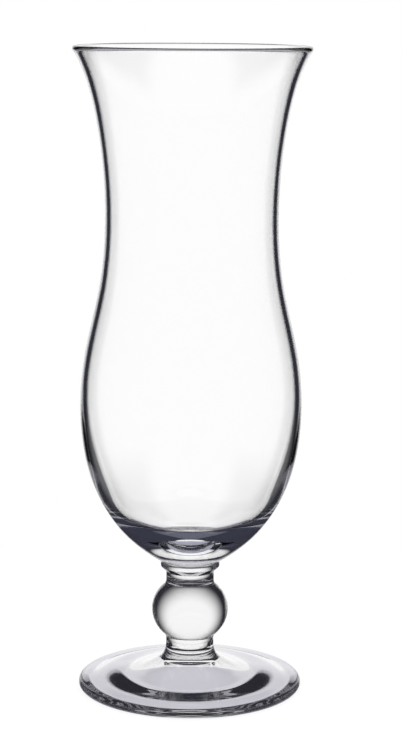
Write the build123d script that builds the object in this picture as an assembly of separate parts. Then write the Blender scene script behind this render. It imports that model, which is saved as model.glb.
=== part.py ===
"""A hurricane glass: foot, knopped stem, collar and curved bowl, each turned from its own half section.

Millimetres, +Z up, the origin on the surface that the glass stands on, in the middle of the foot. Each piece
is a gather of glass with a flat seat on the piece below it. The foot, stem and collar stack up to the bowl's
seat, and the bowl fills the rest of the glass's height.
"""
from build123d import *
from math import cos, radians, sin, sqrt
import os

# Whole glass
GLASS_HEIGHT = 214.7  # from the standing surface to the top of the lip

# Foot: a shallow cone with a bull-nosed edge, standing on a flat ring. Inside the ring its underside slopes
# up to a level ledge, and a domed punt rises in the middle
FOOT_DIAMETER = 75.1
FOOT_HEIGHT = 9.6
FOOT_EDGE_THICKNESS = 3.2
FOOT_EDGE_SLOPE = 12.0  # degrees below level, where the upper face runs into the edge
FOOT_HUB_SLOPE = 24.0  # degrees below level, where the upper face leaves the stem
STANDING_RING_WIDTH = 3.0
UNDERSIDE_SLOPE = 12.0  # degrees above level, where the underside leaves the standing ring
UNDERSIDE_SLOPE_WIDTH = 4.2
LEDGE_WIDTH = 6.5
LEDGE_RISE = 0.9
PUNT_RISE = 7.0

# Stem: a flare on the foot, a neck, the knop and a second neck
FLARE_DIAMETER = 19.8
FLARE_HEIGHT = 5.0
NECK_DIAMETER = 16.1
LOWER_NECK_LENGTH = 3.1
UPPER_NECK_LENGTH = 4.3
KNOP_DIAMETER = 25.7
KNOP_HEIGHT = 22.8  # of the whole ellipse, which the two necks cut short
KNOP_FILLET = 3.0

# Collar: a disc that stands out past the neck, coned in to the neck below, with softly rounded corners
COLLAR_THICKNESS = 3.4
COLLAR_OVERHANG = 1.85
COLLAR_CONE_HEIGHT = 1.85
COLLAR_ROUND = 0.5

# Bowl, outside: the diameter at each level, and the level's share of the height from the seat to the rim
HEEL_SHARE = 0.0574
HEEL_DIAMETER = 43.9
LOWER_BOWL_SHARE = 0.1522
LOWER_BOWL_DIAMETER = 64.2
BELLY_SHARE = 0.2993
BELLY_DIAMETER = 73.5
SHOULDER_SHARE = 0.4101
SHOULDER_DIAMETER = 70.8
TAPER_SHARE = 0.5401
TAPER_DIAMETER = 61.2
WAIST_SHARE = 0.6751
WAIST_DIAMETER = 57.0
FLARED_MOUTH_SHARE = 0.8635
FLARED_MOUTH_DIAMETER = 62.3
RIM_DIAMETER = 77.8
SEAT_SLOPE = 31.0  # degrees above level, where the outside leaves the seat
RIM_SLOPE = 58.5  # degrees above level, where the wall ends in the lip

# Bowl, inside: the glass below the dished floor, the turn into the wall, and the wall's width at each level
BASE_THICKNESS = 9.0
FLOOR_DIAMETER = 26.8
FLOOR_DISH = 2.8
INNER_HEEL_DIAMETER = 43.6
INNER_HEEL_RISE = 6.7  # above the middle of the floor
LOWER_BOWL_WALL = 3.4
BELLY_WALL = 2.0
SHOULDER_WALL = 1.85
TAPER_WALL = 1.75
WAIST_WALL = 1.6
FLARED_MOUTH_WALL = 1.6
LIP_THICKNESS = 2.0

# Seats, from the foot to the bowl
NECK_RADIUS = NECK_DIAMETER / 2
FLARE_RADIUS = FLARE_DIAMETER / 2
COLLAR_RADIUS = NECK_RADIUS + COLLAR_OVERHANG
BOWL_SEAT_RADIUS = COLLAR_RADIUS - COLLAR_ROUND
KNOP_HALF_SPAN = KNOP_HEIGHT / 2 * sqrt(1 - (NECK_DIAMETER / KNOP_DIAMETER) ** 2)  # knop's middle to a neck
KNOP_CENTRE_RISE = FLARE_HEIGHT + LOWER_NECK_LENGTH + KNOP_HALF_SPAN
STEM_LENGTH = KNOP_CENTRE_RISE + KNOP_HALF_SPAN + UPPER_NECK_LENGTH
COLLAR_SEAT = FOOT_HEIGHT + STEM_LENGTH
BOWL_SEAT = COLLAR_SEAT + COLLAR_THICKNESS
LIP_RADIUS = LIP_THICKNESS / 2
LIP_RISE = LIP_RADIUS * (1 + cos(radians(RIM_SLOPE)))  # the lip's outer edge to its top
BOWL_HEIGHT = GLASS_HEIGHT - BOWL_SEAT - LIP_RISE


def heading(degrees):
    """Direction in the half section: radius first, then height."""
    return (cos(radians(degrees)), sin(radians(degrees)))


def swept(points, start_heading, end_heading):
    """Smooth curve through points of the half section, leaving and arriving at the given headings."""
    ends = [heading(start_heading), heading(end_heading)]
    return Spline(*points, tangents=ends, tangent_scalars=[1, 1])


def turned(outline):
    """One piece of glass: a closed half section turned round the axis."""
    section = Plane.XZ * make_face(outline)
    return revolve(section, Axis.Z)


def make_foot():
    """Shallow cone with a concave sweep and a half-round edge, and a ledge and a punt inside the ring."""
    nose = FOOT_EDGE_THICKNESS / 2
    nose_radius = FOOT_DIAMETER / 2 - nose
    turn_x, turn_z = heading(90 - FOOT_EDGE_SLOPE)
    edge_top = (nose_radius + nose * turn_x, nose + nose * turn_z)
    ring_inside = nose_radius - STANDING_RING_WIDTH
    ledge_edge = ring_inside - UNDERSIDE_SLOPE_WIDTH
    punt_edge = ledge_edge - LEDGE_WIDTH
    punt_and_ledge = [(0, PUNT_RISE), (punt_edge, LEDGE_RISE), (ledge_edge, LEDGE_RISE), (ring_inside, 0)]
    underside = swept(punt_and_ledge, 0, -UNDERSIDE_SLOPE)
    ring = Line((ring_inside, 0), (nose_radius, 0))
    edge = ThreePointArc((nose_radius, 0), (FOOT_DIAMETER / 2, nose), edge_top)
    upper_face = swept([edge_top, (FLARE_RADIUS, FOOT_HEIGHT)], 180 - FOOT_EDGE_SLOPE, 180 - FOOT_HUB_SLOPE)
    seat_and_axis = Polyline((FLARE_RADIUS, FOOT_HEIGHT), (0, FOOT_HEIGHT), (0, PUNT_RISE))
    return turned(underside + ring + edge + upper_face + seat_and_axis)


def make_knop_stem():
    """Flared neck with the flattened ball of the knop, filleted where ball and necks meet."""
    neck_start = (NECK_RADIUS, FLARE_HEIGHT)
    flare = TangentArc(neck_start, (FLARE_RADIUS, 0), tangent=(0, -1))
    neck_end = (NECK_RADIUS, STEM_LENGTH)
    outline = flare + Polyline((FLARE_RADIUS, 0), (0, 0), (0, STEM_LENGTH), neck_end, neck_start)
    half_knop = Ellipse(KNOP_DIAMETER / 2, KNOP_HEIGHT / 2) & Rectangle(
        KNOP_DIAMETER, KNOP_HEIGHT, align=(Align.MIN, Align.CENTER)
    )
    section = make_face(outline) + Pos(0, KNOP_CENTRE_RISE) * half_knop
    stem = revolve(Plane.XZ * section, Axis.Z)
    creases = [
        edge
        for edge in stem.edges().filter_by(GeomType.CIRCLE)
        if abs(abs(edge.center().Z - KNOP_CENTRE_RISE) - KNOP_HALF_SPAN) < KNOP_FILLET / 10
    ]
    return Pos(0, 0, FOOT_HEIGHT) * fillet(creases, KNOP_FILLET)


def make_collar():
    """Disc between stem and bowl, its underside coned in to the neck."""
    cone_top = (COLLAR_RADIUS, COLLAR_CONE_HEIGHT)
    disc_top = (COLLAR_RADIUS, COLLAR_THICKNESS)
    outline = Polyline((0, 0), (NECK_RADIUS, 0), cone_top, disc_top, (0, COLLAR_THICKNESS), (0, 0))
    disc = turned(outline)
    corners = disc.edges().filter_by(GeomType.CIRCLE).sort_by(Axis.Z)[1:]
    return Pos(0, 0, COLLAR_SEAT) * fillet(corners, COLLAR_ROUND)


def bowl_levels():
    """Height, outer radius and wall of each level above the heel, up to the flared mouth."""
    levels = [
        (LOWER_BOWL_SHARE, LOWER_BOWL_DIAMETER, LOWER_BOWL_WALL),
        (BELLY_SHARE, BELLY_DIAMETER, BELLY_WALL),
        (SHOULDER_SHARE, SHOULDER_DIAMETER, SHOULDER_WALL),
        (TAPER_SHARE, TAPER_DIAMETER, TAPER_WALL),
        (WAIST_SHARE, WAIST_DIAMETER, WAIST_WALL),
        (FLARED_MOUTH_SHARE, FLARED_MOUTH_DIAMETER, FLARED_MOUTH_WALL),
    ]
    return [(share * BOWL_HEIGHT, diameter / 2, wall) for share, diameter, wall in levels]


def make_bowl():
    """One smooth curve outside, one inside with its own wall at each level, and a half-round lip."""
    levels = bowl_levels()
    rim_outside = Vector(RIM_DIAMETER / 2, BOWL_HEIGHT)
    across = Vector(*heading(RIM_SLOPE + 90))
    along = Vector(*heading(RIM_SLOPE))
    rim_inside = rim_outside + across * LIP_THICKNESS
    rim_crest = (rim_outside + rim_inside) / 2 + along * LIP_RADIUS
    outer_levels = [(radius, height) for height, radius, wall in levels]
    inner_levels = [(radius - wall, height) for height, radius, wall in levels]
    seat_edge = (BOWL_SEAT_RADIUS, 0)
    heel = (HEEL_DIAMETER / 2, HEEL_SHARE * BOWL_HEIGHT)
    outside = swept([seat_edge, heel, *outer_levels, rim_outside], SEAT_SLOPE, RIM_SLOPE)
    floor_middle = (0, BASE_THICKNESS)
    floor_edge = (FLOOR_DIAMETER / 2, BASE_THICKNESS + FLOOR_DISH)
    inner_heel = (INNER_HEEL_DIAMETER / 2, BASE_THICKNESS + INNER_HEEL_RISE)
    inside = swept([floor_middle, floor_edge, inner_heel, *inner_levels, rim_inside], 0, RIM_SLOPE)
    lip = ThreePointArc(rim_outside, rim_crest, rim_inside)
    base = Polyline(floor_middle, (0, 0), seat_edge)
    return Pos(0, 0, BOWL_SEAT) * turned(outside + lip + inside + base)


PIECES = {
    "foot": make_foot(),
    "knop_stem": make_knop_stem(),
    "collar": make_collar(),
    "bowl": make_bowl(),
}

os.makedirs("parts", exist_ok=True)
for node, piece in PIECES.items():
    export_step(piece, f"parts/{node}.step")
    box = piece.bounding_box()
    heights = f"z {box.min.Z:.2f} to {box.max.Z:.2f}"
    print(f"{node}: {piece.volume / 1000:.2f} ml of glass, {heights}, width {box.size.X:.2f}")
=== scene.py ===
# %% [markdown]
# # A hurricane glass
# This lesson dresses a CAD model of a tall cocktail glass. The real glass is four gathers of clear glass,
# shaped one by one and fused while hot: a coned foot, a stem with a round knop, a thin collar and a curved
# bowl. The imported model is loaded first, as a frame that says where everything goes.

# %% Load the CAD frame
from functools import partial, reduce
from math import asin, atan2, cos, degrees, pi, radians, sin, sqrt, tan

import bpy
import numpy as np
from mathutils import Matrix


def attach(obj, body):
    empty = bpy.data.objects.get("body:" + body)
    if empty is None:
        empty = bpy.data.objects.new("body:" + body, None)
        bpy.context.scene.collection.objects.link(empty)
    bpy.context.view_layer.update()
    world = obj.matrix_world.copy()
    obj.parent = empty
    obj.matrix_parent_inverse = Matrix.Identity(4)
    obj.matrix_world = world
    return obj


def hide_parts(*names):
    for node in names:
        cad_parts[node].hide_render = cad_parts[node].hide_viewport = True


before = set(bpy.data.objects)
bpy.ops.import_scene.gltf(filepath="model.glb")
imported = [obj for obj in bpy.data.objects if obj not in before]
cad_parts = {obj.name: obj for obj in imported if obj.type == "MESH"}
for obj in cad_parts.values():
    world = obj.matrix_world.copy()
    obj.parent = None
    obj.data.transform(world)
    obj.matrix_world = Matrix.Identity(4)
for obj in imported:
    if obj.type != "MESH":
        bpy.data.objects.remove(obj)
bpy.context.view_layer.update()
scene = bpy.context.scene
print("CAD nodes:", ", ".join(sorted(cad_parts)))

# %% [markdown]
# ## Curves of a half section
# A turned piece is known by its half section: a line drawn from the axis, round the outside and back to the
# axis. A lathe worker would cut a template of it in card. Here it is a row of points, radius first and then
# height. Glass flows when it is hot, so its long curves have no corners. A cubic spline through a few
# measured points, with the direction given at both ends, bends as little as it can between them, which is
# how hot glass settles too.

# %% Points along a spline
def heading(angle):
    """Unit direction in the half section: radius first, then height."""
    return np.array([cos(radians(angle)), sin(radians(angle))])


def flowing_line(knots, start_angle, end_angle, spacing):
    """Points about one spacing apart on a cubic spline through the knots, headed as told at both ends."""
    knots = np.array(knots, dtype=float)
    chord = np.linalg.norm(np.diff(knots, axis=0), axis=1)
    count = len(knots)
    system, wanted = np.eye(count), np.zeros((count, 2))
    wanted[0], wanted[-1] = heading(start_angle), heading(end_angle)
    for i in range(1, count - 1):
        system[i, i - 1:i + 2] = chord[i], 2 * (chord[i - 1] + chord[i]), chord[i - 1]
        into = chord[i] * (knots[i] - knots[i - 1]) / chord[i - 1]
        away = chord[i - 1] * (knots[i + 1] - knots[i]) / chord[i]
        wanted[i] = 3 * (into + away)
    slopes = np.linalg.solve(system, wanted)
    points = [knots[:1]]
    for i, length in enumerate(chord):
        s = np.linspace(0, 1, max(3, int(round(length / spacing)) + 1))[1:, None]
        points.append(
            (2 * s**3 - 3 * s**2 + 1) * knots[i] + (s**3 - 2 * s**2 + s) * length * slopes[i]
            + (3 * s**2 - 2 * s**3) * knots[i + 1] + (s**3 - s**2) * length * slopes[i + 1]
        )
    return np.vstack(points)


print("A line that rises and levels off:", flowing_line([(0, 0), (2, 1)], 45, 0, 1).round(2).tolist())

# %% Points along an arc, and runs joined to an outline
SAME_POINT = 1e-4  # millimetres


def arc(centre, radius, start_angle, end_angle, steps):
    """Points on a circle's arc, or on an ellipse's where radius is a pair."""
    across, up = radius if isinstance(radius, tuple) else (radius, radius)
    turn = np.radians(np.linspace(start_angle, end_angle, steps + 1))
    return np.column_stack([centre[0] + across * np.cos(turn), centre[1] + up * np.sin(turn)])


def joined(*runs):
    """One outline from several runs of points, with the shared ends kept once."""
    points = [np.atleast_2d(np.array(run, dtype=float)) for run in runs]
    outline = [points[0][0]]
    for point in np.vstack(points):
        if np.linalg.norm(point - outline[-1]) > SAME_POINT:
            outline.append(point)
    return np.array(outline)


print("A quarter circle in 4 steps:", arc((0, 0), 1, 0, 90, 4).round(3).tolist())

# %% [markdown]
# ## The foot
# The foot is a shallow cone that sweeps up to the stem, with a half-round edge. It stands on a narrow flat
# ring. Inside the ring the underside slopes up to a level ledge, and a domed punt rises in the middle, so
# that the glass does not rock. The ledge sends light sideways: it is what draws the dark leaves and the
# dark crescent on the foot. All sizes are in millimetres, as on a drawing, and become metres when the mesh
# is made.

# %% The foot's half section
FOOT_DIAMETER = 75.1
FOOT_HEIGHT = 9.6
FOOT_EDGE_THICKNESS = 3.2
FOOT_EDGE_SLOPE = 12.0
FOOT_HUB_SLOPE = 24.0
STANDING_RING_WIDTH = 3.0
UNDERSIDE_SLOPE = 12.0
UNDERSIDE_SLOPE_WIDTH = 4.2
LEDGE_WIDTH = 6.5
LEDGE_RISE = 0.9
PUNT_RISE = 7.0
FLARE_RADIUS = 19.8 / 2
FOOT_SPACING = 0.5  # of the points along its curves


def foot_outline():
    """From the axis under the punt, round the edge and up to the stem's seat."""
    nose = FOOT_EDGE_THICKNESS / 2
    nose_radius = FOOT_DIAMETER / 2 - nose
    ring_inside = nose_radius - STANDING_RING_WIDTH
    ledge_edge = ring_inside - UNDERSIDE_SLOPE_WIDTH
    punt_edge = ledge_edge - LEDGE_WIDTH
    punt_and_ledge = [(0, PUNT_RISE), (punt_edge, LEDGE_RISE), (ledge_edge, LEDGE_RISE), (ring_inside, 0)]
    underside = flowing_line(punt_and_ledge, 0, -UNDERSIDE_SLOPE, FOOT_SPACING)
    ring = np.linspace((ring_inside, 0), (nose_radius, 0), 5)
    edge = arc((nose_radius, nose), nose, -90, 90 - FOOT_EDGE_SLOPE, steps=24)
    cone = [edge[-1], (FLARE_RADIUS, FOOT_HEIGHT)]
    upper_face = flowing_line(cone, 180 - FOOT_EDGE_SLOPE, 180 - FOOT_HUB_SLOPE, FOOT_SPACING)
    return joined(underside, ring, edge, upper_face, (0, FOOT_HEIGHT))


print("Foot outline:", len(foot_outline()), "points")

# %% [markdown]
# ## The stem and its knop
# The stem is solid. It flares where it meets the foot, swells into a flattened ball, the knop, and ends in
# a second neck. The ball was pressed while soft, so it is an ellipse in section, and small fillets join it
# to the necks. A fillet rolls a circle into the corner, and its centre is found where the offset ellipse
# crosses the offset neck.

# %% Where the fillets touch the knop
FLARE_HEIGHT = 5.0
NECK_RADIUS = 16.1 / 2
LOWER_NECK_LENGTH = 3.1
UPPER_NECK_LENGTH = 4.3
KNOP_RADIUS = 25.7 / 2
KNOP_HALF_HEIGHT = 22.8 / 2
KNOP_FILLET = 3.0
KNOP_HALF_SPAN = KNOP_HALF_HEIGHT * sqrt(1 - (NECK_RADIUS / KNOP_RADIUS) ** 2)
KNOP_MIDDLE = FOOT_HEIGHT + FLARE_HEIGHT + LOWER_NECK_LENGTH + KNOP_HALF_SPAN
COLLAR_SEAT = KNOP_MIDDLE + KNOP_HALF_SPAN + UPPER_NECK_LENGTH


def knop_corner():
    """The angle where a fillet touches the ball, the rise of the fillet's middle, and the way it faces."""
    angle = np.linspace(radians(20), radians(89), 20000)  # tried in fine steps up the ball
    across, up = KNOP_RADIUS * np.cos(angle), KNOP_HALF_HEIGHT * np.sin(angle)
    normal = np.column_stack([np.cos(angle) / KNOP_RADIUS, np.sin(angle) / KNOP_HALF_HEIGHT])
    normal /= np.linalg.norm(normal, axis=1)[:, None]
    best = np.argmin(abs(across + KNOP_FILLET * normal[:, 0] - (NECK_RADIUS + KNOP_FILLET)))
    facing = degrees(np.arctan2(normal[best, 1], normal[best, 0]))
    return degrees(angle[best]), up[best] + KNOP_FILLET * normal[best, 1], facing


print("The fillets touch the knop", round(knop_corner()[0], 1), "degrees above and below its middle")

# %% The stem's half section
def stem_outline():
    """From the axis on the foot, up the flare, neck, knop and second neck, to the collar's seat."""
    spread = FLARE_RADIUS - NECK_RADIUS
    flare_radius = (FLARE_HEIGHT**2 + spread**2) / (2 * spread)
    flare_angle = degrees(asin(FLARE_HEIGHT / flare_radius))
    flare_middle = (NECK_RADIUS + flare_radius, FOOT_HEIGHT + FLARE_HEIGHT)
    flare = arc(flare_middle, flare_radius, 180 + flare_angle, 180, steps=20)
    touch, rise, facing = knop_corner()
    corner = NECK_RADIUS + KNOP_FILLET
    lower_fillet = arc((corner, KNOP_MIDDLE - rise), KNOP_FILLET, 180, 180 - facing, steps=16)
    ball = arc((0, KNOP_MIDDLE), (KNOP_RADIUS, KNOP_HALF_HEIGHT), -touch, touch, steps=72)
    upper_fillet = arc((corner, KNOP_MIDDLE + rise), KNOP_FILLET, 180 + facing, 180, steps=16)
    seat = [(NECK_RADIUS, COLLAR_SEAT), (0, COLLAR_SEAT)]
    return joined((0, FOOT_HEIGHT), flare, lower_fillet, ball, upper_fillet, seat)


print("Stem outline:", len(stem_outline()), "points, knop's middle at", round(KNOP_MIDDLE, 2), "mm")

# %% [markdown]
# ## The collar
# A small disc of glass is dropped between stem and bowl, to hide the weld and carry the bowl. It stands out
# past the neck. Its underside is coned in to the neck, and its corners are softened by the flame.

# %% The collar's half section
COLLAR_THICKNESS = 3.4
COLLAR_OVERHANG = 1.85
COLLAR_CONE_HEIGHT = 1.85
COLLAR_ROUND = 0.5
COLLAR_RADIUS = NECK_RADIUS + COLLAR_OVERHANG
BOWL_SEAT = COLLAR_SEAT + COLLAR_THICKNESS
BOWL_SEAT_RADIUS = COLLAR_RADIUS - COLLAR_ROUND


def collar_outline():
    """From the axis on the neck, out along the cone, round both softened corners, to the bowl's seat."""
    slope = degrees(atan2(COLLAR_CONE_HEIGHT, COLLAR_OVERHANG))
    turn = COLLAR_ROUND * tan(radians((90 - slope) / 2))
    lower_middle = (BOWL_SEAT_RADIUS, COLLAR_SEAT + COLLAR_CONE_HEIGHT + turn)
    lower = arc(lower_middle, COLLAR_ROUND, slope - 90, 0, steps=8)
    upper = arc((BOWL_SEAT_RADIUS, BOWL_SEAT - COLLAR_ROUND), COLLAR_ROUND, 0, 90, steps=8)
    return joined((0, COLLAR_SEAT), (NECK_RADIUS, COLLAR_SEAT), lower, upper, (0, BOWL_SEAT))


print("Collar outline:", len(collar_outline()), "points")

# %% [markdown]
# ## The bowl
# The bowl is blown: a heavy base, a round belly, a narrow waist and a mouth that flares to a fire-polished
# lip. Its outside is one spline through measured levels, and its inside is a second one with its own wall
# at each level, because a blown wall thins as it stretches. The floor inside is slightly dished, and the
# lip is half round.

# %% The bowl's sizes
GLASS_HEIGHT = 214.7
HEEL = (0.0574, 43.9)  # share of the bowl's height, and outer diameter
LEVELS = {  # share of the bowl's height, outer diameter and wall
    "lower bowl": (0.1522, 64.2, 3.4),
    "belly": (0.2993, 73.5, 2.0),
    "shoulder": (0.4101, 70.8, 1.85),
    "taper": (0.5401, 61.2, 1.75),
    "waist": (0.6751, 57.0, 1.6),
    "flared mouth": (0.8635, 62.3, 1.6),
}
RIM_RADIUS = 77.8 / 2
SEAT_SLOPE = 31.0
RIM_SLOPE = 58.5
BASE_THICKNESS = 9.0
FLOOR_RADIUS = 26.8 / 2
FLOOR_DISH = 2.8
INNER_HEEL_RADIUS = 43.6 / 2
INNER_HEEL_RISE = 6.7
LIP_RADIUS = 2.0 / 2
BOWL_SPACING = 1.1  # of the points along its curves
BOWL_HEIGHT = GLASS_HEIGHT - BOWL_SEAT - LIP_RADIUS * (1 + cos(radians(RIM_SLOPE)))
print("The bowl rises", round(BOWL_HEIGHT, 2), "mm from its seat to the lip's outer edge")

# %% The bowl's half section
def bowl_outline():
    """From the axis on the collar, up the outside, over the lip, down the inside and along the floor."""
    outer = [(d / 2, share * BOWL_HEIGHT) for share, d, wall in LEVELS.values()]
    inner = [(d / 2 - wall, share * BOWL_HEIGHT) for share, d, wall in LEVELS.values()]
    heel = (HEEL[1] / 2, HEEL[0] * BOWL_HEIGHT)
    lip_middle = np.array([RIM_RADIUS, BOWL_HEIGHT]) + LIP_RADIUS * heading(RIM_SLOPE + 90)
    lip = arc(lip_middle, LIP_RADIUS, RIM_SLOPE - 90, RIM_SLOPE + 90, steps=24)
    outside = flowing_line([(BOWL_SEAT_RADIUS, 0), heel, *outer, lip[0]], SEAT_SLOPE, RIM_SLOPE, BOWL_SPACING)
    floor_middle = (0, BASE_THICKNESS)
    floor_edge = (FLOOR_RADIUS, BASE_THICKNESS + FLOOR_DISH)
    inner_heel = (INNER_HEEL_RADIUS, BASE_THICKNESS + INNER_HEEL_RISE)
    inside = flowing_line([floor_middle, floor_edge, inner_heel, *inner, lip[-1]], 0, RIM_SLOPE, BOWL_SPACING)
    return joined((0, 0), outside, lip, inside[::-1]) + np.array([0, BOWL_SEAT])


print("Bowl outline:", len(bowl_outline()), "points, top at", round(bowl_outline()[:, 1].max(), 2), "mm")

# %% [markdown]
# ## Small helpers for node trees
# Materials, the lathe and the studio are all made of nodes. By hand each node takes a few clicks: add it,
# set its switches, type its numbers and draw its links. These helpers do the same in a line, so that the
# steps below can show what a tree does. A node's switches come before its inputs, because they can change
# which inputs it has.

# %% Feed, place and calculate
def feed(tree, node, inputs):
    """Sets a node's inputs to values, or joins them to other nodes' outputs."""
    for name, value in inputs.items():
        if isinstance(value, bpy.types.NodeSocket):
            tree.links.new(value, node.inputs[name])
        else:
            node.inputs[name].default_value = value


def placed(tree, kind, inputs=None, **switches):
    """A new node in the tree, with its switches set and its inputs fed."""
    node = tree.nodes.new(kind)
    for name, value in switches.items():
        setattr(node, name, value)
    feed(tree, node, inputs or {})
    return node


def maths(tree, operation, *values):
    """The output of a Math node, fed with numbers or with other nodes' outputs."""
    return placed(tree, "ShaderNodeMath", dict(enumerate(values)), operation=operation).outputs[0]


def add_sockets(group, inputs, outputs):
    """Named sockets of a node group, each with its kind."""
    for side, sockets in (("INPUT", inputs), ("OUTPUT", outputs)):
        for name, kind in sockets.items():
            group.interface.new_socket(name, in_out=side, socket_type="NodeSocket" + kind)


print("Node helpers:", ", ".join(helper.__name__ for helper in (feed, placed, maths, add_sockets)))

# %% [markdown]
# ## Ripples in the glass
# The surface of blown and reheated glass is never quite true. Slow ripples lie over it, and the outlines
# they bend are what tells real glass from a perfect lens. Noise on the object's own coordinates keeps each
# ripple in its place. Both kinds of glass share the effect, so it is a node group that puts out a height.

# %% The ripple, as a node group
def ripple_group():
    """A slow ripple, as reheated glass keeps it: a height for a Bump node."""
    group = bpy.data.node_groups.new("reheated glass ripple", "ShaderNodeTree")
    add_sockets(group, {"Ripples per metre": "Float"}, {"Height": "Float"})
    scale = placed(group, "NodeGroupInput").outputs["Ripples per metre"]
    place = placed(group, "ShaderNodeTexCoord").outputs["Object"]
    slow = placed(group, "ShaderNodeTexNoise", {"Vector": place, "Scale": scale, "Detail": 1.0})
    placed(group, "NodeGroupOutput", {"Height": slow.outputs["Fac"]})
    return group


RIPPLE = ripple_group()
print("Node group:", RIPPLE.name, "with", len(RIPPLE.nodes), "nodes")

# %% [markdown]
# ## Clear glass
# The glass is soda-lime: colourless, with the faintest cold tint, and fire-polished all over. A Principled
# shader with full transmission bends the light as glass does. Lamps reach the table through it, so shadow
# rays meet a clear shader. The bowl is blown into the air, so its skin is perfectly smooth. Foot, stem and
# collar are pressed with tools while they are soft, and keep a trace of roughness, far too little for
# frost. The studio below tells them apart by it.

# %% Blown and pressed glass
TINT = (0.997, 0.997, 0.999, 1)
SHADOW_TINT = (0.96, 0.96, 0.97, 1)
BENDING = 1.52  # index of refraction
RIPPLES_PER_METRE = 60.0
RIPPLE_HEIGHT = 0.00004
PRESSED_ROUGHNESS = 0.012


def clear_glass(name, roughness):
    """Colourless glass with a smooth, slightly rippled surface."""
    material = bpy.data.materials.new(name)
    material.use_nodes = True
    tree = material.node_tree
    ripple = placed(tree, "ShaderNodeGroup", {"Ripples per metre": RIPPLES_PER_METRE}, node_tree=RIPPLE)
    bump = placed(tree, "ShaderNodeBump", {"Strength": 1.0, "Distance": RIPPLE_HEIGHT})
    feed(tree, bump, {"Height": ripple.outputs["Height"]})
    glass = tree.nodes["Principled BSDF"]
    feed(tree, glass, {"Base Color": TINT, "Roughness": roughness, "IOR": BENDING})
    feed(tree, glass, {"Transmission Weight": 1.0, "Normal": bump.outputs["Normal"]})
    through = placed(tree, "ShaderNodeBsdfTransparent", {"Color": SHADOW_TINT})
    shadow = placed(tree, "ShaderNodeLightPath").outputs["Is Shadow Ray"]
    mix = placed(tree, "ShaderNodeMixShader", {"Fac": shadow, 1: glass.outputs[0], 2: through.outputs[0]})
    feed(tree, tree.nodes["Material Output"], {"Surface": mix.outputs[0]})
    return material


BLOWN = clear_glass("blown glass", 0.0)
PRESSED = clear_glass("pressed glass", PRESSED_ROUGHNESS)
print("Materials:", BLOWN.name, "for the bowl and", PRESSED.name, "below it")

# %% [markdown]
# ## Fused joints
# Gathers that are fused while hot become one body of glass, with no surface left between them. The model
# keeps them as separate pieces that touch at flat seats. A glass surface there would show as a mirror, so
# the seats get a clear material of their own, and light runs straight on.

# %% The clear joint
def fused_joint():
    """Where two gathers are fused there is no surface left, so light runs straight on."""
    material = bpy.data.materials.new("fused joint")
    material.use_nodes = True
    tree = material.node_tree
    tree.nodes.remove(tree.nodes["Principled BSDF"])
    through = placed(tree, "ShaderNodeBsdfTransparent")
    feed(tree, tree.nodes["Material Output"], {"Surface": through.outputs[0]})
    return material


JOINT = fused_joint()
print("Material:", JOINT.name, "between the pieces")

# %% [markdown]
# ## A lathe in Geometry Nodes
# Every piece of this glass follows one rule: its half section turned round the axis. Spinning each one by
# hand would repeat the same work, so one node tree does it. A grid has one column for each step of the turn
# and one row for each point of the outline. Each grid point looks up its outline point, takes its x as the
# radius, and goes round by its column. 192 steps round keep the outline smooth, and the triangles below the
# limit for one piece.

# %% Turn a grid round the axis
STEPS_ROUND = 192


def turned_grid(tree, given):
    """A grid of steps round the axis and outline points, moved to where the turned outline lies."""
    calc = partial(maths, tree)
    steps, rows = given["Steps round"], given["Outline points"]
    number = placed(tree, "GeometryNodeInputIndex").outputs[0]
    row = calc("MODULO", number, rows)
    column = calc("FLOOR", calc("DIVIDE", calc("ADD", number, 0.5), rows))
    turn = calc("MULTIPLY", calc("DIVIDE", column, steps), 2 * pi)
    position = placed(tree, "GeometryNodeInputPosition").outputs[0]
    asked = {"Geometry": given["Outline"], "Value": position, "Index": row}
    point = placed(tree, "GeometryNodeSampleIndex", asked, data_type="FLOAT_VECTOR").outputs[0]
    parts = placed(tree, "ShaderNodeSeparateXYZ", {0: point}).outputs
    x = calc("MULTIPLY", parts["X"], calc("COSINE", turn))
    y = calc("MULTIPLY", parts["X"], calc("SINE", turn))
    place = placed(tree, "ShaderNodeCombineXYZ", {"X": x, "Y": y, "Z": parts["Z"]}).outputs[0]
    grid = placed(tree, "GeometryNodeMeshGrid", {"Vertices X": calc("ADD", steps, 1), "Vertices Y": rows})
    moved = placed(tree, "GeometryNodeSetPosition", {"Geometry": grid.outputs["Mesh"], "Position": place})
    return moved.outputs[0]


print("The foot's grid will have", (STEPS_ROUND + 1) * len(foot_outline()), "points")

# %% [markdown]
# ## Closing and dressing the turned grid
# The grid's first and last column lie on each other, and its poles are rows of points in one place. Merging
# closes both. Faces are smooth, as glass is, and edges with a real corner are marked sharp. The flat faces
# at a seat's height are the fused joints, and get their own material.

# %% Close the seam, smooth the faces and set the materials
SAME_PLACE = 1e-6


def closed_and_smooth(tree, mesh, corner_angle):
    """Seam and poles merged, faces smooth, and edges sharp where they bend more than the corner angle."""
    merged = placed(tree, "GeometryNodeMergeByDistance", {"Geometry": mesh, "Distance": SAME_PLACE})
    smooth = placed(tree, "GeometryNodeSetShadeSmooth", {"Geometry": merged.outputs[0]})
    bend = placed(tree, "GeometryNodeInputMeshEdgeAngle").outputs["Unsigned Angle"]
    corner = maths(tree, "GREATER_THAN", bend, corner_angle)
    sharp = {"Geometry": smooth.outputs[0], "Selection": corner, "Shade Smooth": False}
    return placed(tree, "GeometryNodeSetShadeSmooth", sharp, domain="EDGE").outputs[0]


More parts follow.
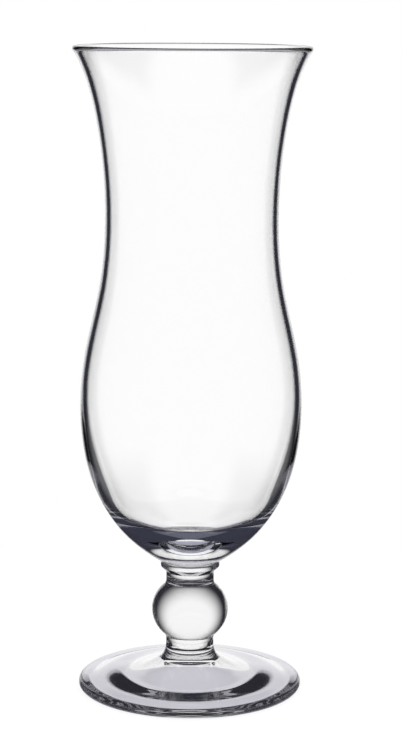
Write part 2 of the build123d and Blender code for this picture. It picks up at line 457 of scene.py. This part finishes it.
def dressed(tree, mesh, given):
    """Glass all over, and the joint's material on the flat seats."""
    calc = partial(maths, tree)
    position = placed(tree, "GeometryNodeInputPosition").outputs[0]
    height = placed(tree, "ShaderNodeSeparateXYZ", {0: position}).outputs["Z"]
    at_seat = [
        calc("LESS_THAN", calc("ABSOLUTE", calc("SUBTRACT", height, given[name])), SAME_PLACE)
        for name in ("Lower joint height", "Upper joint height")
    ]
    plain = placed(tree, "GeometryNodeRealizeInstances", {0: mesh}).outputs[0]
    all_over = {"Geometry": plain, "Material": given["Glass"]}
    glass = placed(tree, "GeometryNodeSetMaterial", all_over).outputs[0]
    seats = {"Geometry": glass, "Selection": calc("MAXIMUM", *at_seat), "Material": given["Joint"]}
    return placed(tree, "GeometryNodeSetMaterial", seats).outputs[0]


print("Points closer than", SAME_PLACE, "m are merged")

# %% Build the lathe tree
LATHE_INPUTS = {
    "Outline": "Geometry",
    "Steps round": "Int",
    "Outline points": "Int",
    "Corner angle": "Float",
    "Lower joint height": "Float",
    "Upper joint height": "Float",
    "Glass": "Material",
    "Joint": "Material",
}


def lathe_tree():
    """Turns the outline that the object holds round Z and gives it the glass."""
    tree = bpy.data.node_groups.new("lathe", "GeometryNodeTree")
    add_sockets(tree, LATHE_INPUTS, {"Piece": "Geometry"})
    given = placed(tree, "NodeGroupInput").outputs
    turned = turned_grid(tree, given)
    smooth = closed_and_smooth(tree, turned, given["Corner angle"])
    placed(tree, "NodeGroupOutput", {0: dressed(tree, smooth, given)})
    return tree


LATHE = lathe_tree()
print("Lathe tree:", len(LATHE.nodes), "nodes")

# %% [markdown]
# ## Turning the four pieces
# Each piece starts as its outline, a row of points joined by edges. The lathe turns it, the result becomes
# a plain mesh, and the modifier goes. Then the piece takes the place of its CAD node: it rides on the same
# body.

# %% A piece on the lathe
MM = 0.001
CORNER_ANGLE = radians(30)
NO_JOINT = -1000.0


def turned_piece(name, glass, outline, lower_joint=NO_JOINT, upper_joint=NO_JOINT):
    """A turned piece of glass that stands for the CAD node of the same name."""
    mesh = bpy.data.meshes.new(name)
    points = [(r * MM, 0, z * MM) for r, z in outline]
    mesh.from_pydata(points, [(i, i + 1) for i in range(len(points) - 1)], [])
    piece = bpy.data.objects.new(name + "_glass", mesh)
    scene.collection.objects.link(piece)
    lathe = piece.modifiers.new("lathe", "NODES")
    lathe.node_group = LATHE
    settings = {
        "Steps round": STEPS_ROUND,
        "Outline points": len(points),
        "Corner angle": CORNER_ANGLE,
        "Lower joint height": lower_joint * MM,
        "Upper joint height": upper_joint * MM,
        "Glass": glass,
        "Joint": JOINT,
    }
    for socket in LATHE.interface.items_tree:
        if socket.name in settings:
            lathe[socket.identifier] = settings[socket.name]
    graph = bpy.context.evaluated_depsgraph_get()
    solid = bpy.data.meshes.new_from_object(piece.evaluated_get(graph), depsgraph=graph)
    piece.modifiers.remove(lathe)
    solid.materials.pop(index=0)  # the grid's own empty slot, which no face uses
    piece.data = solid
    return piece


print("Corners of more than", round(degrees(CORNER_ANGLE)), "degrees stay sharp")

# %% Turn, fuse and hand over each piece
PIECES = {
    "foot": turned_piece("foot", PRESSED, foot_outline(), upper_joint=FOOT_HEIGHT),
    "knop_stem": turned_piece("knop_stem", PRESSED, stem_outline(), FOOT_HEIGHT, COLLAR_SEAT),
    "collar": turned_piece("collar", PRESSED, collar_outline(), COLLAR_SEAT, BOWL_SEAT),
    "bowl": turned_piece("bowl", BLOWN, bowl_outline(), lower_joint=BOWL_SEAT),
}
for name, piece in PIECES.items():
    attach(piece, "root")
    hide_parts(name)
    print(name, "has", len(piece.data.polygons), "faces in", ", ".join(m.name for m in piece.data.materials))

# %% [markdown]
# ## A studio for clear glass
# Clear glass shows only what is behind and around it. In a bright-field set-up a white panel stands behind
# the glass and black cards stand at its sides: the middle of the glass shows the panel, and its edges,
# which bend light the most, show the cards as dark outlines. Real panels would be mirrored in each other and
# cast shadows, so the studio is painted on the world instead, by direction. A painter joins masks in its
# node tree. A mask is 1 where a light is seen, 0 where it isn't, and soft between.

# %% A painter for masks and colours
class Painter:
    """Makes masks and mixes colours in one node tree."""

    def __init__(self, tree):
        self.tree, self.calc = tree, partial(maths, tree)

    def either(self, *masks):
        """Where at least one of the masks is."""
        return reduce(partial(self.calc, "MAXIMUM"), masks)

    def all_of(self, *masks):
        """Where all of the masks are."""
        return reduce(partial(self.calc, "MULTIPLY"), masks)

    def none_of(self, mask):
        """Where the mask isn't."""
        return self.calc("SUBTRACT", 1, mask)

    def below(self, value, low, high):
        """1 below low, 0 above high."""
        edge = {"Value": value, "From Min": low, "From Max": high, "To Min": 1, "To Max": 0}
        return placed(self.tree, "ShaderNodeMapRange", edge, interpolation_type="SMOOTHSTEP").outputs[0]

    def above(self, value, low, high):
        """0 below low, 1 above high."""
        return self.none_of(self.below(value, low, high))

    def more_than(self, count, number):
        """Where a whole count is more than the number."""
        return self.calc("GREATER_THAN", count, number + 0.5)

    def up_to(self, count, number):
        """Where a whole count is at most the number."""
        return self.calc("LESS_THAN", count, number + 0.5)

    def mixed(self, factor, first, second):
        """The first colour where factor is 0, the second where it is 1."""
        colours = {6: first, 7: second}  # the Mix node's sockets for colours
        for socket, colour in colours.items():
            if isinstance(colour, tuple):
                colours[socket] = (*colour, 1)
        return placed(self.tree, "ShaderNodeMix", {0: factor, **colours}, data_type="RGBA").outputs[2]


world = bpy.data.worlds.new("studio")
world.use_nodes = True
world.cycles.sampling_method = "NONE"
sky = world.node_tree
paint = Painter(sky)
calc, either, all_of, none_of = paint.calc, paint.either, paint.all_of, paint.none_of
below, above, mixed = paint.below, paint.above, paint.mixed
more_than, up_to = paint.more_than, paint.up_to
print("World:", world.name, "with", len(sky.nodes), "nodes to start with")

# %% [markdown]
# ## Where a ray goes
# A world shader is asked for a colour in one direction. Two angles tell it where that is: how far round
# from the back of the studio, and how far up. A panel is an upright patch of these angles. Its edges are
# soft, as those of a lit cloth are. A round light is everything within an angle of its middle.

# %% Directions, panels and round lights
SIDE_SOFTNESS = 4  # degrees, at the sides of a panel
END_SOFTNESS = 6  # at its lower and upper edge

direction = placed(sky, "ShaderNodeTexCoord").outputs["Generated"]
along = placed(sky, "ShaderNodeSeparateXYZ", {0: direction}).outputs
around = calc("DEGREES", calc("ARCTAN2", calc("MULTIPLY", along["X"], -1), along["Y"]))
aside = calc("ABSOLUTE", around)
up = calc("DEGREES", calc("ARCSINE", along["Z"]))


def panel(towards, half_width, low, high):
    """A mask for an upright panel that stands in one direction, between two heights."""
    off = calc("ABSOLUTE", calc("WRAP", calc("SUBTRACT", around, towards), 180, -180))
    height = calc("ABSOLUTE", calc("SUBTRACT", up, (low + high) / 2))
    half_height = (high - low) / 2
    return all_of(
        below(off, half_width - SIDE_SOFTNESS, half_width + SIDE_SOFTNESS),
        below(height, half_height - END_SOFTNESS, half_height + END_SOFTNESS),
    )


def glow(towards, rise, full, end):
    """A mask for a round light in one direction, with the angles where it is still full and where it ends."""
    turn, lift = radians(towards), radians(rise)
    middle = (-sin(turn) * cos(lift), cos(turn) * cos(lift), sin(lift))
    facing = placed(sky, "ShaderNodeVectorMath", {0: direction, 1: middle}, operation="DOT_PRODUCT")
    return below(calc("DEGREES", calc("ARCCOSINE", facing.outputs["Value"])), full, end)


def around_the_glass(light, sizes):
    """One mask for panels or round lights in several directions."""
    return either(*(light(towards, *size) for towards, size in sizes.items()))


print("Nodes with the directions:", len(sky.nodes))

# %% [markdown]
# ## How a ray came through the glass
# A photographer moves small cards about until a thin wall, a solid ball and a coned foot are all drawn
# well. Here each part of the glass is told by how a ray came through it: how often it crossed a surface,
# how often it was mirrored, and whether the last surface was blown or pressed. Two crossings without a
# mirror mean solid glass, such as the knop, and four mean both walls of the bowl. A perfectly smooth
# surface, as the blown one is, is what Cycles calls singular.

# %% Kinds of rays
path = placed(sky, "ShaderNodeLightPath").outputs
crossed, mirrored = path["Transmission Depth"], path["Glossy Depth"]
blown = path["Is Singular Ray"]
pressed = none_of(blown)
straight = up_to(mirrored, 0)
once = all_of(more_than(mirrored, 0), up_to(mirrored, 1))
thick = all_of(straight, up_to(crossed, 2))
hollow = all_of(straight, more_than(crossed, 2))
print("Nodes with the kinds of rays:", len(sky.nodes))

# %% [markdown]
# ## White panels
# The tall panel behind the glass does most of the work. The foot and the stem need a wider and a lower one
# beside it, and the bowl's skin narrower ones, so that its outline stays dark. Panels all round light the
# walls of the bowl. Two more light the foot and the stem for a view from the right and one from the back,
# so that the glass is drawn there in much the same way.

# %% Paint the panels
STUDIO_BACK = 0  # the direction straight behind the glass
TALL_PANEL = (21, -45, 32)  # half width, lower and upper edge, in degrees
WIDE_PANEL = (28, -12, 32)
LOW_PANEL = (46, -54, -4)
SKIN_PANELS = ((21, -16, 32), (12, -45, 32))
SIDE_PANELS = {90: (24, -32, 28), 225: (24, -42, -8)}  # by direction
WALL_PANELS = {
    0: (27, -48, -19), 45: (12, -55, 4), 90: (15, -40, 12), 135: (15, -48, 4),
    180: (15, -48, 4), 225: (15, -48, 4), 270: (15, -40, 12), 315: (12, -55, 4),
}
LOW_MIRROR = (8, 24)  # pressed glass mirrors the panels only below these heights

entered = either(blown, more_than(crossed, 1), below(up, *LOW_MIRROR))
behind = all_of(either(pressed, straight), panel(STUDIO_BACK, *TALL_PANEL))
skin = all_of(once, blown, either(*(panel(STUDIO_BACK, *size) for size in SKIN_PANELS)))
wide_and_low = either(
    all_of(once, panel(STUDIO_BACK, *WIDE_PANEL)),
    all_of(hollow, panel(STUDIO_BACK, *LOW_PANEL)),
)
wide = all_of(pressed, wide_and_low)
sides = all_of(pressed, more_than(crossed, 1), around_the_glass(panel, SIDE_PANELS))
tall = all_of(either(behind, skin, wide, sides), entered, none_of(thick))
walls = all_of(hollow, blown, around_the_glass(panel, WALL_PANELS))
print("White panels stand towards", sorted({STUDIO_BACK, *SIDE_PANELS, *WALL_PANELS}), "degrees")

# %% [markdown]
# ## Round lights, the front and the ceiling
# The knop is a ball lens: it gathers what lies behind it into a bright middle that fades to a dark ring. A
# round light that fades out draws that. The bowl's far wall, seen through the mouth, has round lights of
# its own. The white room beside and in front of the glass is mirrored in the bowl, the white table is seen
# straight down through it, and a bright ceiling is what light finds that was mirrored many times.

# %% Paint the round lights, the front and the ceiling
GLOWS = {0: (3, 22, 56), 90: (-4, 10, 33), 225: (-15, 12, 42)}  # by direction: rise, full and end
RIM_GLOWS = {
    45: (-26, 14, 22), 135: (-15, 12, 42), 180: (-15, 12, 42), 270: (-4, 10, 33), 315: (-15, 14, 22),
}
FRONT_WALL = 0.95  # brightness
CEILING = 0.8
FRONT_EDGE = (38, 55)  # this and those below it are soft edges, in degrees
FLOOR_TOP = (-40, -25)
STRAIGHT_DOWN = (-75, -68)
FLOOR_FRONT = (110, 140)
CEILING_EDGE = (45, 60)
CEILING_WIDTH = (40, 60)
TABLE_EDGE = (-70, -52)
FEW = 4  # times mirrored
OFTEN = 6

rim_lens = all_of(blown, around_the_glass(glow, RIM_GLOWS))
lens = all_of(thick, either(around_the_glass(glow, GLOWS), rim_lens))
table_below = all_of(straight, blown, below(up, *TABLE_EDGE))
off_floor = either(above(up, *FLOOR_TOP), below(up, *STRAIGHT_DOWN), above(aside, *FLOOR_FRONT))
level = either(more_than(crossed, 3), off_floor)
front = all_of(once, blown, level, above(aside, *FRONT_EDGE), FRONT_WALL)
overhead = all_of(above(up, *CEILING_EDGE), below(aside, *CEILING_WIDTH))
ceiling = all_of(more_than(mirrored, OFTEN), overhead, CEILING)
white = either(all_of(up_to(mirrored, FEW), either(tall, walls, lens, front, table_below)), ceiling)
print("Round lights:", len(GLOWS) + len(RIM_GLOWS))

# %% [markdown]
# ## Dark cards and the floor
# What isn't white is a dark card. The thick base of the bowl shows the cards with a bluish tinge, and light
# that was mirrored to and fro in the base or the foot's edge comes out as a soft grey. The grey floor of
# the studio is what mirrored rays find below.

# %% Paint the cards and the floor
CARD = (0.022, 0.022, 0.028)
BASE_CARD = (0.042, 0.044, 0.066)
BASE_LIGHT = (0.17, 0.175, 0.225)
EDGE_LIGHT = (0.34, 0.34, 0.38)
FLOOR_COLOUR = (0.42, 0.43, 0.52)
FLOOR_EDGE = (-62, -40)  # this and those below it are soft edges, in degrees
FLOOR_WIDTH = (70, 95)
BASE_RISE = (12, 35)
STEEP = (68, 76)
FOOT_RISE = (-8, 12)
VERY_OFTEN = 9  # times mirrored

inside = all_of(blown, more_than(mirrored, 1), up_to(crossed, 3))
lost_in_bowl = all_of(blown, more_than(mirrored, OFTEN), below(up, *BASE_RISE))
lost_in_foot = all_of(pressed, more_than(mirrored, VERY_OFTEN), below(up, *FOOT_RISE))
thrice = all_of(more_than(mirrored, 2), up_to(mirrored, 3), up_to(crossed, 4))
upward = all_of(blown, thrice, above(up, *BASE_RISE), below(up, *STEEP))
cards = mixed(inside, CARD, BASE_CARD)
cards = mixed(either(lost_in_bowl, lost_in_foot), cards, EDGE_LIGHT)
cards = mixed(upward, cards, BASE_LIGHT)

ahead = all_of(once, below(aside, *FLOOR_WIDTH), more_than(crossed, 1))
beyond = either(blown, more_than(crossed, 3))
twice_or_thrice = all_of(more_than(mirrored, 1), up_to(mirrored, 3))
floor = all_of(either(all_of(beyond, ahead), twice_or_thrice), below(up, *FLOOR_EDGE))
surroundings = mixed(floor, cards, FLOOR_COLOUR)
print("Nodes with the cards:", len(sky.nodes))

# %% [markdown]
# ## The world put together
# The glass stands on a plain white page, so a ray straight from the camera sees white. Only rays that have
# met the glass see the studio. All other light, such as the table's, comes from an even, soft white. Light
# Path tells these rays apart, so that one world serves all three.

# %% Put the world together
WHITE = (1.0, 1.0, 1.0)
EVEN_LIGHT = (0.6, 0.6, 0.6)

in_glass = either(path["Is Transmission Ray"], path["Is Glossy Ray"])
lit = mixed(in_glass, EVEN_LIGHT, mixed(white, surroundings, WHITE))
feed(sky, sky.nodes["Background"], {"Color": mixed(path["Is Camera Ray"], lit, WHITE)})
scene.world = world
print("World:", scene.world.name, "with", len(sky.nodes), "nodes")

# %% [markdown]
# ## The table
# The glass stands on a small round white table. It has to look white in the picture and still take the
# glass's faint shadow. So most of its white is its own, and a part comes from the lamp above it. Straight
# through the foot it is a shaded white with a touch of lilac, because the foot keeps some of the light off
# it. Rays that went further through the glass pass the table by and see the studio's floor, as over a sheet
# of clear glass.

# %% The table's white
OWN_WHITE = 0.7
LIT_WHITE = (0.95, 0.95, 0.95, 1)
SHADED_WHITE = (0.66, 0.65, 0.71, 1)
FOOT_PRINT = 0.038  # metres, a little past the foot's edge


def table_white():
    """White by itself and by the lamp, shaded straight through the foot, gone for other rays in glass."""
    material = bpy.data.materials.new("white table")
    material.use_nodes = True
    tree = material.node_tree
    tree.nodes.remove(tree.nodes["Principled BSDF"])
    masks = Painter(tree)
    path = placed(tree, "ShaderNodeLightPath").outputs
    place = placed(tree, "ShaderNodeTexCoord").outputs["Object"]
    reach = placed(tree, "ShaderNodeVectorMath", {0: place}, operation="LENGTH").outputs["Value"]
    through_foot = masks.all_of(masks.calc("LESS_THAN", reach, FOOT_PRINT), masks.up_to(path["Ray Depth"], 2))
    in_glass = masks.either(path["Is Transmission Ray"], path["Is Glossy Ray"])
    hidden = masks.all_of(in_glass, masks.none_of(through_foot))

    def blend(factor, first, second):
        shaders = {1: first.outputs[0], 2: second.outputs[0]}
        return placed(tree, "ShaderNodeMixShader", {"Fac": factor, **shaders})

    lit = placed(tree, "ShaderNodeBsdfDiffuse", {"Color": LIT_WHITE})
    own = placed(tree, "ShaderNodeEmission", {"Strength": 1.0})
    shaded = placed(tree, "ShaderNodeEmission", {"Color": SHADED_WHITE})
    top = blend(in_glass, blend(OWN_WHITE, lit, own), shaded)
    shown = blend(hidden, top, placed(tree, "ShaderNodeBsdfTransparent"))
    feed(tree, tree.nodes["Material Output"], {"Surface": shown.outputs[0]})
    return material


TABLE_WHITE = table_white()
print("Material:", TABLE_WHITE.name, "with", len(TABLE_WHITE.node_tree.nodes), "nodes")

# %% A round table and a soft lamp
TABLE_RADIUS = 0.2
TABLE_CORNERS = 96
TABLE_GAP = 0.0001  # below the foot
LAMP_HEIGHT = 0.9
LAMP_SIZE = 0.6
LAMP_POWER = 6

top_mesh = bpy.data.meshes.new("table")
rim = arc((0, 0), TABLE_RADIUS, 0, 360 - 360 / TABLE_CORNERS, TABLE_CORNERS - 1)
top_mesh.from_pydata([(x, y, -TABLE_GAP) for x, y in rim], [], [list(range(TABLE_CORNERS))])
top_mesh.materials.append(TABLE_WHITE)
table = bpy.data.objects.new("table", top_mesh)
scene.collection.objects.link(table)

light = bpy.data.lights.new("top lamp", "AREA")
light.size, light.energy = LAMP_SIZE, LAMP_POWER
lamp = bpy.data.objects.new("top lamp", light)
lamp.location = (0, 0, LAMP_HEIGHT)
lamp.visible_camera = lamp.visible_glossy = lamp.visible_transmission = False  # it lights the table alone
scene.collection.objects.link(lamp)
print("Table:", TABLE_RADIUS, "m in radius, under a lamp", LAMP_HEIGHT, "m above it")

# %% [markdown]
# ## The camera
# The photograph looks slightly down on the glass from about 0.7 m, with a long lens. Its place was worked
# out from the ovals of the rim and the foot, which open more the further they lie below the eye. The
# picture also leans by a third of a degree, and so does this camera. Light in thick glass is mirrored many
# times, so it gets many bounces.

# %% Place the camera
EYE = (0, -0.713, 0.23205)
LOOK_DOWN = 9.98
LOOK_RIGHT = 0.264
LEAN = 0.343
LENS = 104.74
SENSOR_WIDTH = 36
BOUNCES = 32

camera_data = bpy.data.cameras.new("camera")
camera_data.lens = LENS
camera_data.sensor_width = SENSOR_WIDTH
camera = bpy.data.objects.new("camera", camera_data)
camera.location = EYE
camera.rotation_euler = (
    Matrix.Rotation(radians(-LOOK_RIGHT), 3, "Z")
    @ Matrix.Rotation(radians(90 - LOOK_DOWN), 3, "X")
    @ Matrix.Rotation(radians(LEAN), 3, "Z")
).to_euler()
scene.collection.objects.link(camera)
scene.camera = camera
scene.view_settings.view_transform = "Standard"
for limit in ("max_bounces", "transmission_bounces", "glossy_bounces", "transparent_max_bounces"):
    setattr(scene.cycles, limit, BOUNCES)
print("Camera at", EYE, "looking down", LOOK_DOWN, "degrees")
